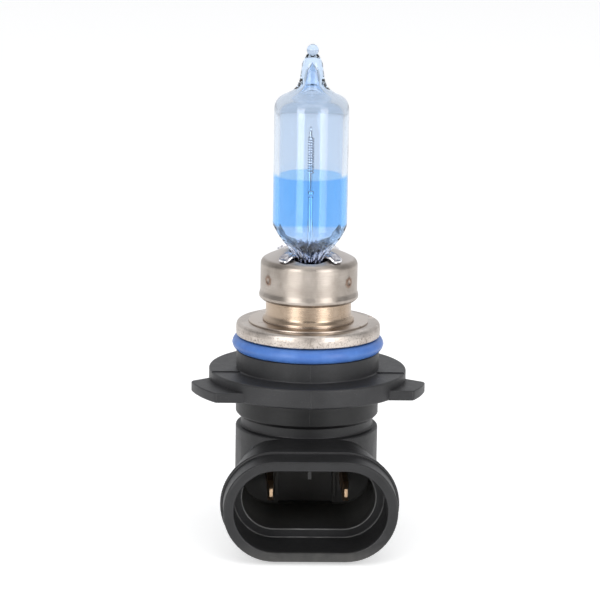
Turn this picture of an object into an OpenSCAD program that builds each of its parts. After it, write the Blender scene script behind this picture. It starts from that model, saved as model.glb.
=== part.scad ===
// Single-filament halogen headlamp bulb with a right-angle socket base.
// Origin: centre of the reference plane (the tops of the three bayonet lugs), on the bulb's axis.
// +Z runs towards the glass tip, and the socket opens towards -Y.

/* [Glass capsule] */
// Outer diameter of the glass tube
glass_d = 10.42; // [10:0.02:10.6]
// Wall thickness of the glass tube
glass_wall = 0.9; // [0.7:0.05:1.1]
// Height where the tube starts to close towards the pinch seal
glass_low_z = 21.8; // [21.5:0.1:22]
// Height where the tube starts to close towards the exhaust tip
glass_high_z = 38.2; // [37.8:0.1:38.6]
// Thickness of the flat pinch seal, across X
pinch_t = 3.4; // [3:0.1:3.6]
// Width of the flat pinch seal, along Y
pinch_w = 8.4; // [8:0.1:8.6]
// Height of the pinch seal's top, where it meets the tapered end of the tube
pinch_top_z = 16.4; // [16:0.1:16.6]
// Height of the pinch seal's bottom
pinch_low_z = 9.8; // [9.4:0.1:10.4]

/* [Filament and leads] */
// Height of the filament's centre above the reference plane
light_centre = 31.66; // [31.5:0.02:31.8]
// Length of the coiled filament
coil_len = 5.25; // [4.8:0.05:5.6]
// Outer diameter of the coil
coil_d = 0.95; // [0.8:0.05:1.1]
// Diameter of the filament's two straight legs
leg_d = 0.2; // [0.15:0.05:0.25]
// Diameter of the support wires inside the capsule
lead_d = 0.74; // [0.6:0.02:0.8]
// Distance of each support wire from the axis, along Y
lead_y = 1.55; // [1.5:0.05:1.7]
// Height of the short support wire's top
short_lead_z = 26.9; // [26.5:0.1:27.4]
// Height of the long support wire's top
long_lead_z = 35.4; // [35.2:0.1:35.8]
// Diameter of the outer wires below the pinch seal
tail_d = 0.7; // [0.5:0.05:0.8]
// Width of the sealing foils inside the pinch
foil_w = 2.2; // [1.8:0.1:2.4]
// Thickness of the sealing foils
foil_t = 0.1; // [0.06:0.02:0.2]

/* [Cup and sleeve] */
// Outer diameter of the cup that carries the glass
cup_d = 13.6; // [13.4:0.05:13.8]
// Height where the cup's side turns over into its domed top
cup_shoulder_z = 16.25; // [16.1:0.05:16.4]
// Height of the widest line of the cup's turned-in lip
cup_lip_z = 11.7; // [11.5:0.1:11.9]
// Wall thickness of the cup
cup_wall = 0.35; // [0.3:0.05:0.4]
// Width of the rounded slot in the cup's top, across X
cup_slot_w = 5.6; // [5.5:0.05:5.8]
// Length of the slot, along Y
cup_slot_l = 11.8; // [11.5:0.05:11.9]
// Outer diameter of the focus sleeve under the cup
sleeve_d = 12; // [11.8:0.05:12.1]
// Wall thickness of the focus sleeve
sleeve_wall = 0.4; // [0.3:0.05:0.45]
// Diameter of the focus sleeve's foot
sleeve_foot_d = 16.8; // [16:0.1:17.4]

/* [Pilot ring and seal] */
// Diameter of the pilot ring that centres the bulb in the lamp
pilot_d = 20.3; // [20:0.05:20.4]
// Height of the pilot ring's flat top
pilot_top_z = 8.05; // [7.9:0.05:8.2]
// Height of the pilot ring's lower edge
pilot_low_z = 6.15; // [6.1:0.05:6.3]
// Thickness of the pilot ring's sheet
pilot_wall = 0.5; // [0.4:0.05:0.6]
// Thickness of the O-ring's round section
o_ring_t = 2; // [1.9:0.05:2.05]
// Outer diameter of the O-ring
o_ring_d = 21.26; // [21:0.02:21.5]

/* [Flange] */
// Diameter of the flange disc
flange_d = 27.74; // [27.2:0.02:28.2]
// Height of the flange's top face
flange_top_z = 1.45; // [1.3:0.05:1.6]
// Depth of the flange's lower face below the reference plane
flange_low = 1.43; // [1.2:0.01:1.6]
// Diameter over the bayonet lugs
lug_span_d = 33.4; // [33:0.1:33.8]
// Diameter of the collar and of the skirt
collar_d = 20.08; // [19.9:0.02:20.2]
// Height of the collar's top, the seat of the O-ring
collar_top_z = 4.02; // [3.9:0.02:4.1]

/* [Socket body] */
// Diameter of the upright body under the flange
body_d = 20.06; // [19.8:0.02:20.2]
// Distance from the axis to the socket's mouth
mouth_y = 20; // [19:0.1:21]
// Width of the socket's mouth, outside
mouth_w = 23.84; // [23.5:0.02:24.1]
// Height of the socket's mouth, outside
mouth_h = 14.1; // [13.9:0.02:14.2]
// Depth of the socket's centre below the reference plane
socket_drop = 14.25; // [14.1:0.05:14.3]
// Width of the mouth's hollow
hollow_w = 20.9; // [20.5:0.05:21.2]
// Height of the mouth's hollow
hollow_h = 11.4; // [11:0.05:11.6]
// Width of the ledge between the mouth's hollow and the blades' hollow
ledge_w = 1.22; // [1.1:0.02:1.3]
// Depth of the ledge behind the mouth
ledge_depth = 7.6; // [7:0.1:8]
// Depth of the back wall behind the mouth
back_depth = 20.6; // [20:0.1:20.8]

/* [Terminals] */
// Distance between the two blades, centre to centre
blade_pitch = 10.4; // [10:0.1:10.6]
// Thickness of each blade
blade_t = 0.8; // [0.6:0.05:0.8]
// Width of each blade
blade_w = 2.8; // [2.4:0.1:3]
// Depth of the blades' tips behind the mouth
blade_depth = 8.6; // [8.2:0.1:9.5]

/* [Hidden] */
$fn = 96;
eps = 0.01;                             // how far a cutter runs past the face it cuts

glass_r = glass_d / 2;
bore_r = glass_r - glass_wall;
coil_low_z = light_centre - coil_len / 2;
coil_high_z = light_centre + coil_len / 2;
foil_high_z = 15.2;                     // foils end here against the support wires
foil_low_z = 11.2;                      // and here against the outer wires
clip_wall = 0.25;
clip_low_z = 11;
clip_high_z = 16.3;
tab_len = 2.7;
tab_w = 1.8;
tab_z = 17.4;                           // underside of each tab's tip
dome_slope = 28;                        // slope of the cup's top where it leaves the shoulder
clip_band_low_z = 12.8;
clip_web_z = 15.3;
sleeve_high_z = 12.5;
foot_t = 0.2;
groove_high_z = -4.9;                   // the skirt starts to taper into the groove here
skirt_low_z = -5.3;
body_high_z = -6.75;
body_low_z = -21;
spigot_d = 18.6;                        // round joint between the flange and the socket body
spigot_high_z = -2.5;
well_r = 7.6;                           // round well over the terminals, inside the flange
seal_r = o_ring_d / 2 - o_ring_t;       // plastic spigot that the O-ring sits on
potting_high_z = 0.6;
step_depth = 0.15;                      // the flange's front half is this much lower
step_y = -3.2;
shoulder_y = -16;                       // the shroud widens behind this plane
shoulder = 0.38;
taper_y = -6;                           // the shroud's sides have closed to the body's width here
tail_high_z = 6.5;                      // heights of the outer wires' two bends
tail_low_z = 2.2;
terminal_back_y = 4.8;
terminal_mid_y = 3.7;
terminal_high_z = -0.8;
blade_z = -13.9;

// Points of an arc about [x, y], from angle a to angle b, in n steps
function arc(x, y, r, a, b, n) = [for (i = [0 : n]) [x + r * cos(a + (b - a) * i / n),
                                                     y + r * sin(a + (b - a) * i / n)]];

// Straight round rod between two points
module rod(from, to, d) {
    run = to - from;
    turn = atan2(run[1], run[0]);
    lean = acos(run[2] / norm(run));
    translate(from) rotate([0, lean, turn]) cylinder(d = d, h = norm(run), $fn = 32);
}

// Upright block with its centre on the axis
module block(x, y, low, high) {
    translate([-x / 2, -y / 2, low]) cube([x, y, high - low]);
}

// Prism along Y with a stadium outline: w wide, h high, from y0 to y1, on the socket's centre line
module stadium(w, h, y0, y1) {
    translate([0, y0, -socket_drop]) rotate([-90, 0, 0]) linear_extrude(y1 - y0) {
        square([w - h, h], center = true);
        for (side = [-1, 1]) translate([side * (w - h) / 2, 0]) circle(d = h);
    }
}

// Outer outline of the capsule above the pinch taper, from the axis at the bottom to the tip
function capsule_outline() = concat(
    [[0, glass_low_z - 1], [glass_r - 0.45, glass_low_z - 1], [glass_r - 0.12, glass_low_z - 0.45],
     [glass_r, glass_low_z + 0.3]],
    arc(glass_r - 2.3, glass_high_z, 2.3, 0, 60, 8),
    arc(4.5, glass_high_z + 5.3, 3.1, 250, 180, 8),
    [[1.36, glass_high_z + 6.3], [1.12, glass_high_z + 7], [0.78, glass_high_z + 7.35]],
    arc(0, glass_high_z + 8.04, 0.86, -40, 90, 8));

// Outline of the hollow inside the capsule, down to where its flat wedge starts
function hollow_outline() = concat(
    [[0, glass_low_z], [bore_r, glass_low_z]],
    arc(bore_r - 1.4, glass_high_z, 1.4, 0, 62, 6),
    [[1.5, glass_high_z + 2.7], [0.62, glass_high_z + 4.2], [0.5, glass_high_z + 5.6],
     [0, glass_high_z + 5.9]]);

module glass_capsule() {
    color([0.78, 0.86, 0.95, 0.4]) difference() {
        union() {
            rotate_extrude() polygon(capsule_outline());
            hull() {
                translate([0, 0, glass_low_z - 1.05]) cylinder(r = glass_r - 0.45, h = 0.1);
                block(pinch_t, pinch_w, pinch_top_z - 0.1, pinch_top_z);
            }
            block(pinch_t, pinch_w, pinch_low_z, pinch_top_z);
        }
        rotate_extrude() polygon(hollow_outline());
        hull() {
            translate([0, 0, glass_low_z]) cylinder(r = bore_r, h = eps);
            block(0.6, 6.4, 18.2, 18.3);
        }
        for (side = [-1, 1]) translate([0, side * lead_y, 0]) {
            translate([0, 0, foil_high_z]) cylinder(d = lead_d, h = 5);
            block(foil_t, foil_w, foil_low_z, foil_high_z);
            translate([0, 0, pinch_low_z - 1]) cylinder(d = tail_d, h = foil_low_z - pinch_low_z + 1);
        }
    }
}

module filament_coil() {
    color("dimgray") difference() {
        union() {
            difference() {
                translate([0, 0, coil_low_z]) cylinder(d = coil_d, h = coil_len);
                translate([0, 0, coil_low_z - eps]) cylinder(d = coil_d - 0.34, h = coil_len + 2 * eps);
            }
            rod([0, -0.4, coil_low_z + 0.1], [0, -lead_y + 0.1, short_lead_z], leg_d);
            rod([0, 0.4, coil_high_z - 0.1], [0, lead_y - 0.1, long_lead_z - 0.3], leg_d);
        }
        long_lead_wire();
        short_lead_wire();
    }
}

module long_lead_wire() {
    color("lightgray") translate([0, lead_y, foil_high_z]) cylinder(d = lead_d, h = long_lead_z - foil_high_z);
}

module short_lead_wire() {
    color("lightgray") translate([0, -lead_y, foil_high_z]) cylinder(d = lead_d, h = short_lead_z - foil_high_z);
}

// Thin sealing foil between a support wire and its outer wire; side is 1 for the long wire, -1 for the short
module foil(side) {
    color("silver") translate([0, side * lead_y, 0]) block(foil_t, foil_w, foil_low_z, foil_high_z);
}

module long_lead_foil() {
    foil(1);
}

module short_lead_foil() {
    foil(-1);
}

// Outer wire from the pinch seal down to the top of its terminal, with a small knuckle at each bend
module lead_tail(side) {
    top = [0, side * lead_y, foil_low_z];
    high_bend = [0, side * lead_y, tail_high_z];
    low_bend = [side * blade_pitch / 2, terminal_mid_y, tail_low_z];
    foot = [side * blade_pitch / 2, terminal_mid_y, terminal_high_z];
    color("lightgray") {
        rod(top, high_bend, tail_d);
        rod(high_bend, low_bend, tail_d);
        rod(low_bend, foot, tail_d);
        for (knuckle = [high_bend, low_bend]) translate(knuckle) sphere(d = 1.2 * tail_d, $fn = 32);
    }
}

module long_lead_tail() {
    lead_tail(1);
}

module short_lead_tail() {
    lead_tail(-1);
}

// Sprung sheet clip: a box round the pinch, a web and a band inside the cup, and four bent tabs
module pinch_clip() {
    band_r = cup_d / 2 - cup_wall;
    bend = [0.62, tab_z + 0.74];
    color("gainsboro") difference() {
        union() {
            block(pinch_t + 2 * clip_wall, pinch_w + 2 * clip_wall, clip_low_z, clip_high_z);
            translate([0, 0, clip_web_z]) cylinder(r = band_r, h = clip_wall);
            difference() {
                translate([0, 0, clip_band_low_z]) cylinder(r = band_r, h = clip_web_z - clip_band_low_z + eps);
                translate([0, 0, clip_band_low_z - eps])
                    cylinder(r = band_r - clip_wall, h = clip_web_z - clip_band_low_z + eps);
            }
            // each tab climbs out of the slot, arches over and slopes down the cup's top
            for (sx = [0, 1], sy = [0, 1]) mirror([sx, 0, 0]) mirror([0, sy, 0])
                translate([pinch_t / 2, pinch_w / 2 - 1.1, 0]) rotate([0, 0, 28])
                    translate([0, tab_w / 2, 0]) rotate([90, 0, 0]) linear_extrude(tab_w)
                        polygon([[0, clip_high_z - 0.7], [0.25, clip_high_z - 0.6], bend, bend + [0.28, 0.08],
                                 [tab_len, tab_z], [tab_len, tab_z + clip_wall], bend + [0.25, 0.36],
                                 bend + [-0.2, 0.15], [0, clip_high_z - 0.1]]);
        }
        block(pinch_t, pinch_w, clip_low_z - 1, tab_z + 1);
    }
}

// Cup: curled-in lip, upright side, round shoulder and a shallow dome with a slot for the pinch seal
module capsule_cup() {
    r = cup_d / 2;
    turn = 90 - dome_slope;
    dome_r = 1 + (r - 1) / cos(turn);
    dome_z = cup_shoulder_z + (1 - dome_r) * sin(turn);
    slot_run = cup_slot_l - cup_slot_w;
    color("silver") difference() {
        rotate_extrude() polygon(concat(
            [[sleeve_d / 2, cup_lip_z - 0.5], [sleeve_d / 2 + 0.45, cup_lip_z - 0.45],
             [r + 0.07, cup_lip_z - 0.2], [r + 0.17, cup_lip_z + 0.15], [r + 0.1, cup_lip_z + 0.6],
             [r, cup_lip_z + 1.1]],
            arc(r - 1, cup_shoulder_z, 1, 0, turn, 7),
            arc(0, dome_z, dome_r, turn + 2, 90, 6),
            arc(0, dome_z, dome_r - cup_wall, 90, turn + 2, 6),
            arc(r - 1, cup_shoulder_z, 1 - cup_wall, turn, 0, 6),
            [[r - cup_wall, cup_lip_z + 0.5], [sleeve_d / 2, cup_lip_z + 0.2]]));
        translate([0, 0, cup_shoulder_z]) linear_extrude(3) {
            square([cup_slot_w, slot_run], center = true);
            for (end = [-1, 1]) translate([0, end * slot_run / 2]) circle(d = cup_slot_w);
        }
    }
}

module focus_sleeve() {
    r = sleeve_d / 2;
    low_z = pilot_top_z;
    color("tan") rotate_extrude() polygon(concat(
        [[r - sleeve_wall, low_z], [sleeve_foot_d / 2, low_z], [sleeve_foot_d / 2, low_z + foot_t]],
        arc(r + 0.4, low_z + foot_t + 0.4, 0.4, 270, 180, 5),
        [[r, sleeve_high_z], [r - sleeve_wall, sleeve_high_z]]));
}

module pilot_ring() {
    r = pilot_d / 2;
    color("darkgray") difference() {
        rotate_extrude() polygon(concat(
            [[r - pilot_wall, pilot_low_z], [r, pilot_low_z]],
            arc(r - 0.8, pilot_top_z - 0.8, 0.8, 0, 90, 6),
            [[sleeve_d / 2 - sleeve_wall, pilot_top_z], [sleeve_d / 2 - sleeve_wall, pilot_top_z - pilot_wall]],
            arc(r - 0.8, pilot_top_z - 0.8, 0.8 - pilot_wall, 90, 0, 3)));
        // index notch in the rolled rim
        rotate([0, 0, 18]) translate([9.1, -0.35, pilot_top_z - 0.9]) cube([2, 0.7, 2]);
    }
}

module o_ring() {
    r = o_ring_t / 2;
    color("cornflowerblue") translate([0, 0, collar_top_z + r]) rotate_extrude()
        translate([o_ring_d / 2 - r, 0]) circle(r = r, $fn = 48);
}

// Bayonet lug: a slice of a ring between two straight edges, given by its corner points in plan
module lug(corners) {
    translate([0, 0, -flange_low]) intersection() {
        cylinder(d = lug_span_d, h = flange_low);
        linear_extrude(flange_low) polygon(corners);
    }
}

module flange_base() {
    r = flange_d / 2;
    edge = 0.25;
    color([0.16, 0.16, 0.17]) difference() {
        union() {
            rotate_extrude() polygon(concat(
                [[spigot_d / 2, skirt_low_z], [collar_d / 2 - 0.45, skirt_low_z],
                 [collar_d / 2, groove_high_z], [collar_d / 2, -flange_low], [r - edge, -flange_low]],
                arc(r - edge, edge - flange_low, edge, -90, 0, 3),
                arc(r - edge, flange_top_z - edge, edge, 0, 90, 3),
                [[collar_d / 2, flange_top_z], [collar_d / 2, collar_top_z], [seal_r, collar_top_z],
                 [seal_r, pilot_top_z - pilot_wall], [well_r, pilot_top_z - pilot_wall],
                 [well_r, spigot_high_z], [spigot_d / 2, spigot_high_z]]));
            lug([[-10, -1], [-13.6, -0.9], [-17.4, -3.7], [-17.4, -10.45], [-8, -10.45]]);
            lug([[10, -1], [13.6, -0.6], [17.4, -3.3], [17.4, -8.3], [8, -8.3]]);
            lug([[-3.9, 10], [-3.9, 17.4], [3.5, 17.4], [3.5, 10]]);
        }
        // the front part of the flange's top is a little lower
        difference() {
            translate([-20, step_y - 20, flange_top_z - step_depth]) cube([40, 20, 2]);
            translate([0, 0, -1]) cylinder(d = collar_d, h = 10);
        }
    }
}

// Shroud behind the mouth: its rounded sides lean in from the shoulder and meet the upright body
module shroud() {
    w = mouth_w + 2 * shoulder;
    h = mouth_h + 2 * shoulder;
    lean = atan2(w / 2 - body_d / 2, taper_y - shoulder_y);
    stadium(body_d, h, shoulder_y, 0);
    intersection() {
        stadium(w, h, shoulder_y, 0);
        for (side = [-1, 1]) translate([side * w / 2, shoulder_y, 0]) rotate([0, 0, side * lean])
            translate([-side * w, 0, 0]) stadium(2 * w, h + 2 * eps, -w, w);
    }
}

module socket_body() {
    back_y = back_depth - mouth_y;
    ledge_y = ledge_depth - mouth_y;
    inner_w = hollow_w - 2 * ledge_w;
    inner_h = hollow_h - 2 * ledge_w;
    top_z = -socket_drop + inner_h / 2;
    color([0.14, 0.14, 0.15]) difference() {
        union() {
            rotate_extrude() polygon([[0, body_low_z], [body_d / 2 - 0.8, body_low_z],
                [body_d / 2, body_low_z + 0.8], [body_d / 2, body_high_z - 0.2],
                [body_d / 2 - 0.2, body_high_z], [spigot_d / 2, body_high_z],
                [spigot_d / 2, spigot_high_z], [0, spigot_high_z]]);
            shroud();
            stadium(mouth_w, mouth_h, -mouth_y, shoulder_y + eps);
        }
        difference() {
            union() {
                stadium(hollow_w, hollow_h, -mouth_y - 1, ledge_y);
                stadium(inner_w, inner_h, ledge_y - eps, back_y);
                // shallow pocket between the blades, in the back wall
                translate([-3.85, back_y - eps, top_z - inner_h + 0.05]) cube([7.7, 1.2, inner_h - 0.05]);
            }
            // key rib under the roof
            translate([-0.3, -13.5, -11.4]) cube([0.6, back_y + 13.5, 3.5]);
            // guide ribs beside the pocket
            for (side = [-1, 1]) translate([side * 4.1 - 0.25, back_y - 0.4, -17.45]) cube([0.5, 0.5, 9]);
        }
        left_terminal();
        right_terminal();
    }
}

// Stamped L-shaped terminal: the blade lies along Y and its tail stands up into the well
module terminal(side) {
    tip_y = blade_depth - mouth_y;
    low = blade_z - blade_w / 2;
    high = blade_z + blade_w / 2;
    color("goldenrod") translate([side * blade_pitch / 2 + blade_t / 2, 0, 0]) rotate([0, -90, 0])
        linear_extrude(blade_t) polygon([[low + 0.8, tip_y], [high - 0.8, tip_y], [high, tip_y + 1.2],
            [high, 2 * terminal_mid_y - terminal_back_y],
            [terminal_high_z, 2 * terminal_mid_y - terminal_back_y],
            [terminal_high_z, terminal_back_y], [low, terminal_back_y], [low, tip_y + 1.2]]);
}

module left_terminal() {
    terminal(-1);
}

module right_terminal() {
    terminal(1);
}

module potting_plug() {
    color([0.2, 0.2, 0.2]) difference() {
        translate([0, 0, spigot_high_z]) cylinder(r = well_r, h = potting_high_z - spigot_high_z);
        for (side = [-1, 1]) {
            terminal(side);
            lead_tail(side);
        }
    }
}

glass_capsule();
filament_coil();
long_lead_wire();
short_lead_wire();
long_lead_foil();
short_lead_foil();
long_lead_tail();
short_lead_tail();
pinch_clip();
capsule_cup();
focus_sleeve();
pilot_ring();
o_ring();
flange_base();
socket_body();
left_terminal();
right_terminal();
potting_plug();
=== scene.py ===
"""Looks of a single-filament headlamp bulb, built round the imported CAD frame.

Lengths in this script are millimetres, and a piece becomes metres when it is finished.
+Z runs towards the glass tip and the socket opens towards -Y.
"""

import math

import bmesh
import bpy
from mathutils import Matrix, Vector


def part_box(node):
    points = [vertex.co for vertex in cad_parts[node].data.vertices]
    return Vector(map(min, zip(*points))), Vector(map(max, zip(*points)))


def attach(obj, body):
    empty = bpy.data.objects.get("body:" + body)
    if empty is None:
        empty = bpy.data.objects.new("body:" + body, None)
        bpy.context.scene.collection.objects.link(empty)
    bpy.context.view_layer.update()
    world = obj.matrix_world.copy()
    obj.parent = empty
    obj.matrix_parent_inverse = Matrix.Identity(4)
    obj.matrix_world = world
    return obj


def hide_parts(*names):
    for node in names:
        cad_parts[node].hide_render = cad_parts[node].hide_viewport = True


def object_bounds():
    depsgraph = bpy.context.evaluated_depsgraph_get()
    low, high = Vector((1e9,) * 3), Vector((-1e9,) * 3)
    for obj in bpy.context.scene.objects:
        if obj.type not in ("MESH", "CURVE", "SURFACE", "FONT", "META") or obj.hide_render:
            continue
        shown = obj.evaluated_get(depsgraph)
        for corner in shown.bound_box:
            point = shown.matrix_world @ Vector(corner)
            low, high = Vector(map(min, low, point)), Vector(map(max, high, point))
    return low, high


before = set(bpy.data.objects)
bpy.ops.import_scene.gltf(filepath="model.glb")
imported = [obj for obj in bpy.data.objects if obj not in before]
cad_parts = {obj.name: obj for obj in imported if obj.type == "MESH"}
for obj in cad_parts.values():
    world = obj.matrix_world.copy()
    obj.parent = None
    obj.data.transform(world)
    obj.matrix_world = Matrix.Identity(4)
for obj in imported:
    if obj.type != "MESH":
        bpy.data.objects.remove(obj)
cad_low, cad_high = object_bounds()
MM = 0.001
TAU = 2 * math.pi


# ---------------------------------------------------------------- shapes
def extent(node):
    """Lowest and highest corner of a CAD node, in millimetres."""
    low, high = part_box(node)
    return low / MM, high / MM


def lerp(a, b, t):
    return a + (b - a) * t


def smooth(t):
    """0 to 1 with level ends, held outside that range."""
    t = min(1.0, max(0.0, t))
    return t * t * (3 - 2 * t)


def fillet(corners, steps=5, closed=True):
    """Outline through corners (u, v, radius), each rounded to its own radius."""
    made = []
    count = len(corners)
    for i, (u, v, radius) in enumerate(corners):
        here = Vector((u, v))
        if radius <= 0 or (not closed and i in (0, count - 1)):
            made.append((u, v))
            continue
        before = Vector(corners[i - 1][:2]) - here
        after = Vector(corners[(i + 1) % count][:2]) - here
        half = before.angle(after) / 2
        if half > math.radians(89):
            made.append((u, v))
            continue
        reach = min(radius / math.tan(half), 0.499 * before.length, 0.499 * after.length)
        radius = reach * math.tan(half)
        centre = here + (before.normalized() + after.normalized()).normalized() * radius / math.sin(half)
        start = here + before.normalized() * reach - centre
        end = here + after.normalized() * reach - centre
        sweep = start.angle_signed(end)
        for k in range(steps + 1):
            made.append(tuple(centre + Matrix.Rotation(-sweep * k / steps, 2) @ start))
    return made


def soften(outline, rounds, spacing=0.12):
    """Open outline with even spacing and its curvature evened out over rounds; the ends stay."""
    points = [Vector(p) for p in outline]
    made = [points[0]]
    for a, b in zip(points, points[1:]):
        steps = max(1, round((b - a).length / spacing))
        made += [a.lerp(b, k / steps) for k in range(1, steps + 1)]
    for _ in range(rounds):
        made = [made[0]] + [(a + 2 * b + c) / 4 for a, b, c in zip(made, made[1:], made[2:])] + [made[-1]]
    return [tuple(p) for p in made]


def lathe(outline, steps=192, closed=True):
    """Solid of revolution of an (r, z) outline; an open outline starts and ends on the axis."""
    verts, faces = [], []
    rows = []
    for r, z in outline:
        if r < 1e-6:
            rows.append([len(verts)] * steps)
            verts.append((0, 0, z))
        else:
            rows.append(list(range(len(verts), len(verts) + steps)))
            verts += [(r * math.cos(TAU * k / steps), r * math.sin(TAU * k / steps), z) for k in range(steps)]
    pairs = list(zip(rows, rows[1:] + rows[:1] if closed else rows[1:]))
    for a, b in pairs:
        for k in range(steps):
            n = (k + 1) % steps
            face = list(dict.fromkeys([a[k], a[n], b[n], b[k]]))
            if len(face) > 2:
                faces.append(face)
    return verts, faces


def loft(rings, closed=False):
    """Solid through rings of points, each ring the same length; a closed one ends where it starts."""
    count, rows = len(rings[0]), len(rings)
    verts = [p for ring in rings for p in ring]
    faces = []
    for i in range(rows if closed else rows - 1):
        for k in range(count):
            n, j = (k + 1) % count, (i + 1) % rows
            faces.append([i * count + k, i * count + n, j * count + n, j * count + k])
    if not closed:
        faces.append(list(range(count))[::-1])
        faces.append(list(range((rows - 1) * count, rows * count)))
    return verts, faces


def inset(outline, distance):
    """Outline (anticlockwise) moved inwards by a distance, point by point."""
    made = []
    count = len(outline)
    for i, point in enumerate(outline):
        here = Vector(point)
        before = (here - Vector(outline[i - 1])).normalized()
        after = (Vector(outline[(i + 1) % count]) - here).normalized()
        normal = Vector((-before.y, before.x)) + Vector((-after.y, after.x))
        normal = normal.normalized() / max(0.5, math.cos(before.angle(after, 0) / 2))
        made.append(tuple(here + normal * distance))
    return made


def prism(outline, low, high, edge=0.0, place=lambda u, v, w: (u, v, w), steps=4):
    """Extruded outline with both rims rounded by edge; place puts (u, v, w) in space."""
    levels = []
    if edge:
        turns = [math.pi / 2 * k / steps for k in range(steps + 1)]
        levels += [(low + edge * (1 - math.sin(t)), edge * (1 - math.cos(t))) for t in turns[::-1]]
        levels += [(high - edge * (1 - math.sin(t)), edge * (1 - math.cos(t))) for t in turns]
        levels = sorted(levels, key=lambda level: level[0])
    else:
        levels = [(low, 0), (high, 0)]
    return loft([[place(u, v, w) for u, v in (inset(outline, d) if d else outline)] for w, d in levels])


def tube(path, radius, sides=12, scale=lambda t: 1.0):
    """Round wire along a path of points, with flat ends; scale changes its radius along the way."""
    points = [Vector(p) for p in path]
    rings = []
    side = None
    for i, p in enumerate(points):
        ahead = (points[min(i + 1, len(points) - 1)] - points[max(i - 1, 0)]).normalized()
        if side is None:
            side = ahead.orthogonal().normalized()
        side = (side - ahead * side.dot(ahead)).normalized()
        up = ahead.cross(side)
        r = radius * scale(i / (len(points) - 1))
        rings.append([tuple(p + (side * math.cos(TAU * k / sides) + up * math.sin(TAU * k / sides)) * r)
                      for k in range(sides)])
    return loft(rings)


def stadium(width, height, steps=28):
    """Stadium outline with its long side along u, anticlockwise."""
    r, half = height / 2, (width - height) / 2
    right = [(half + r * math.cos(a), r * math.sin(a)) for a in
             [-math.pi / 2 + math.pi * k / steps for k in range(steps + 1)]]
    return right + [(-u, -v) for u, v in right]


def build(shape):
    """Object from (verts, faces), still in millimetres, with its normals outwards."""
    verts, faces = shape
    mesh = bpy.data.meshes.new("work")
    mesh.from_pydata(verts, [], faces)
    work = bmesh.new()
    work.from_mesh(mesh)
    bmesh.ops.remove_doubles(work, verts=work.verts, dist=1e-4)
    bmesh.ops.recalc_face_normals(work, faces=work.faces)
    work.to_mesh(mesh)
    work.free()
    made = bpy.data.objects.new("work", mesh)
    bpy.context.scene.collection.objects.link(made)
    return made


def combine(target, other, operation):
    """Boolean of two objects, applied; the other object is used up."""
    step = target.modifiers.new("combine", "BOOLEAN")
    step.operation, step.object, step.solver = operation, other, "EXACT"
    bpy.context.view_layer.update()
    shape = target.evaluated_get(bpy.context.evaluated_depsgraph_get())
    mesh = bpy.data.meshes.new_from_object(shape)
    target.modifiers.clear()
    target.data = mesh
    bpy.data.objects.remove(other)
    return target


def joined(shapes):
    """One object from several closed shapes."""
    verts, faces = [], []
    for more_verts, more_faces in shapes:
        faces += [[i + len(verts) for i in face] for face in more_faces]
        verts += more_verts
    return build((verts, faces))


def finish_piece(obj, name, materials, nodes, angle=38, weighted=False):
    """Names, shades and places a piece in the frame; edges sharper than the angle stay sharp."""
    obj.name = obj.data.name = name
    obj.data.materials.clear()
    for material in materials:
        obj.data.materials.append(material)
    work = bmesh.new()
    work.from_mesh(obj.data)
    bmesh.ops.remove_doubles(work, verts=work.verts, dist=2e-4)
    bmesh.ops.dissolve_degenerate(work, edges=work.edges, dist=1e-4)
    work.to_mesh(obj.data)
    work.free()
    obj.data.transform(Matrix.Scale(MM, 4))
    obj.data.shade_smooth()
    obj.data.set_sharp_from_angle(angle=math.radians(angle))
    if weighted:
        obj.modifiers.new("flat_faces_first", "WEIGHTED_NORMAL").keep_sharp = True
    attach(obj, "root")
    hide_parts(*nodes)
    return obj


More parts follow.
